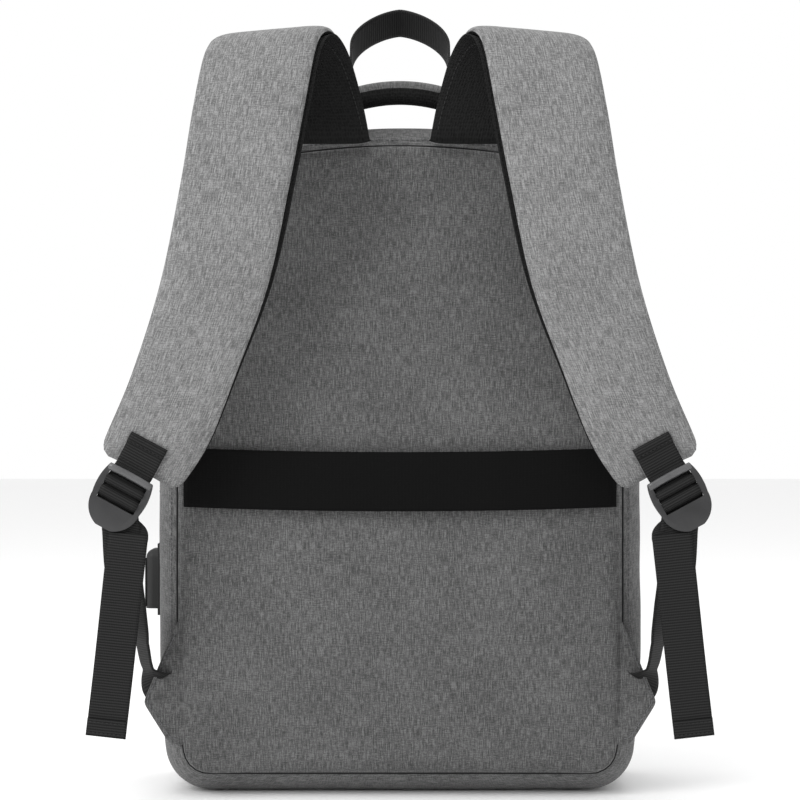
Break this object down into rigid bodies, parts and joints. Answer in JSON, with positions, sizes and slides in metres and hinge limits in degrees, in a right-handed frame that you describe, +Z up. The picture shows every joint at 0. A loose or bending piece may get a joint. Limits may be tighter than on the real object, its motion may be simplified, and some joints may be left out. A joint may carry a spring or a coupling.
{
  "type": "solar backpack",
  "caption": "Laptop backpack with padded shoulder straps on ladder-lock buckles, trolley sleeve strap, side charging port and a solar panel on a fold-down front.",
  "frame": {"origin": "centre of the flat base, on the plane the pack stands on", "axes": "+Z up, -Y towards the wearer with the back panel and straps, +Y the front with the solar panel, +X to the right as seen from the harness side"},
  "size_m": [0.3932, 0.2095, 0.5244],
  "materials": {
    "heather_cloth": "matte heathered polyester",
    "spacer_mesh": "knitted air mesh",
    "webbing": "ribbed polypropylene webbing",
    "elastic_webbing": "fine ribbed webbing",
    "lining_cloth": "plain weave lining",
    "foam": "closed-cell foam",
    "board": "matte board",
    "zip_tape": "woven tape",
    "zip_coil": "nylon coil",
    "zip_metal": "black enamel",
    "buckle_plastic": "satin moulded acetal",
    "port_rubber": "soft moulded rubber",
    "socket_steel": "nickel plated",
    "socket_plastic": "moulded",
    "laminate": "clear polymer laminate over dark backing",
    "cell_silicon": "dark blue silicon under polymer",
    "case_plastic": "fine grain",
    "screw_steel": "black zinc"
  },
  "bodies": {
    "pack": {"back_panel_cover": "heather_cloth", "back_panel_foam": "foam", "back_stiffener_board": "board", "back_lining": "lining_cloth", "rear_gusset": "heather_cloth", "bottom_boot": "heather_cloth", "base_stiffener_board": "board", "luggage_strap": "elastic_webbing", "left_anchor_wing": "heather_cloth", "right_anchor_wing": "heather_cloth", "left_lower_webbing": "webbing", "right_lower_webbing": "webbing", "charging_port_housing": "port_rubber", "charging_port_socket": "socket_steel", "charging_port_tongue": "socket_plastic", "laptop_divider": "lining_cloth", "laptop_retainer_strap": "webbing", "battery_pocket": "lining_cloth", "rear_zip_tape": "zip_tape", "rear_zip_coil": "zip_coil", "handle_anchor_patches": "webbing", "hook_loop_anchor_patches": "webbing"},
    "lid": {"lid_gusset": "heather_cloth", "lid_front_panel": "heather_cloth", "lid_zip_tape": "zip_tape", "lid_zip_coil": "zip_coil", "front_pocket": "heather_cloth", "pocket_zip_tape": "zip_tape", "pocket_zip_coil": "zip_coil", "solar_laminate": "laminate", "solar_cells": "cell_silicon", "solar_binding": "webbing", "controller_case": "case_plastic", "controller_cover": "case_plastic", "controller_socket": "socket_steel", "controller_screws": "screw_steel", "organiser_pocket": "lining_cloth"},
    "carry_handle": {"handle_webbing": "webbing", "handle_grip": "heather_cloth"},
    "hanging_loop": {"hook_loop": "webbing"},
    "lower_slider": {"lower_zip_slider": "zip_metal"},
    "lower_puller": {"lower_zip_puller": "zip_metal"},
    "upper_slider": {"upper_zip_slider": "zip_metal"},
    "upper_puller": {"upper_zip_puller": "zip_metal"},
    "pocket_slider": {"pocket_zip_slider": "zip_metal"},
    "pocket_puller": {"pocket_zip_puller": "zip_metal"},
    "left_strap": {"left_shoulder_pad": "heather_cloth", "left_shoulder_mesh": "spacer_mesh", "left_shoulder_patch": "webbing"},
    "left_buckle": {"left_ladder_lock": "buckle_plastic"},
    "left_tail": {"left_webbing_tail": "webbing"},
    "right_strap": {"right_shoulder_pad": "heather_cloth", "right_shoulder_mesh": "spacer_mesh", "right_shoulder_patch": "webbing"},
    "right_buckle": {"right_ladder_lock": "buckle_plastic"},
    "right_tail": {"right_webbing_tail": "webbing"}
  },
  "joints": [
    {"name": "lid_fold", "type": "hinge", "parent": "pack", "child": "lid", "pos_m": [0, 0.052, 0.042], "axis": [-1, 0, 0], "range_deg": [0, 85]},
    {"name": "carry_handle_swing", "type": "hinge", "parent": "pack", "child": "carry_handle", "pos_m": [0, -0.028, 0.4392], "axis": [1, 0, 0], "range_deg": [0, 20], "stiffness_Nm_per_rad": 0.15},
    {"name": "hanging_loop_swing", "type": "hinge", "parent": "pack", "child": "hanging_loop", "pos_m": [0, -0.012, 0.44122], "axis": [-1, 0, 0], "range_deg": [-15, 38], "stiffness_Nm_per_rad": 0.15},
    {"name": "lower_slider_travel", "type": "slide", "parent": "pack", "child": "lower_slider", "axis": [0, 0, 1], "range_m": [-0.092, 0]},
    {"name": "lower_puller_flip", "type": "hinge", "parent": "lower_slider", "child": "lower_puller", "pos_m": [-0.16, 0.006, 0.194], "axis": [0, 1, 0], "range_deg": [0, 120]},
    {"name": "upper_slider_travel", "type": "slide", "parent": "pack", "child": "upper_slider", "axis": [0, 0, 1], "range_m": [0, 0.06]},
    {"name": "upper_puller_flip", "type": "hinge", "parent": "upper_slider", "child": "upper_puller", "pos_m": [-0.16, 0.006, 0.234], "axis": [0, 1, 0], "range_deg": [0, 170]},
    {"name": "pocket_slider_travel", "type": "slide", "parent": "lid", "child": "pocket_slider", "axis": [-1, 0, 0], "range_m": [0, 0.168]},
    {"name": "pocket_puller_flip", "type": "hinge", "parent": "pocket_slider", "child": "pocket_puller", "pos_m": [0.086, 0.071, 0.105], "axis": [0, 0, 1], "range_deg": [0, 170]},
    {"name": "left_strap_swing", "type": "hinge", "parent": "pack", "child": "left_strap", "pos_m": [-0.05, -0.0684, 0.421], "axis": [-1, 0, 0], "range_deg": [0, 25], "deforming": ["left_lower_webbing"]},
    {"name": "left_buckle_tilt", "type": "hinge", "parent": "left_strap", "child": "left_buckle", "pos_m": [-0.1692, -0.10853, 0.207], "axis": [-0.8788, 0, 0.4772], "range_deg": [0, 60]},
    {"name": "left_tail_swing", "type": "hinge", "parent": "left_buckle", "child": "left_tail", "pos_m": [-0.1702, -0.10853, 0.17127], "axis": [-1, 0, 0], "range_deg": [-10, 60]},
    {"name": "right_strap_swing", "type": "hinge", "parent": "pack", "child": "right_strap", "pos_m": [0.05, -0.0684, 0.421], "axis": [-1, 0, 0], "range_deg": [0, 25], "deforming": ["right_lower_webbing"]},
    {"name": "right_buckle_tilt", "type": "hinge", "parent": "right_strap", "child": "right_buckle", "pos_m": [0.1692, -0.10853, 0.207], "axis": [-0.8788, 0, -0.4772], "range_deg": [0, 60]},
    {"name": "right_tail_swing", "type": "hinge", "parent": "right_buckle", "child": "right_tail", "pos_m": [0.1702, -0.10853, 0.17127], "axis": [-1, 0, 0], "range_deg": [-10, 60]}
  ]
}
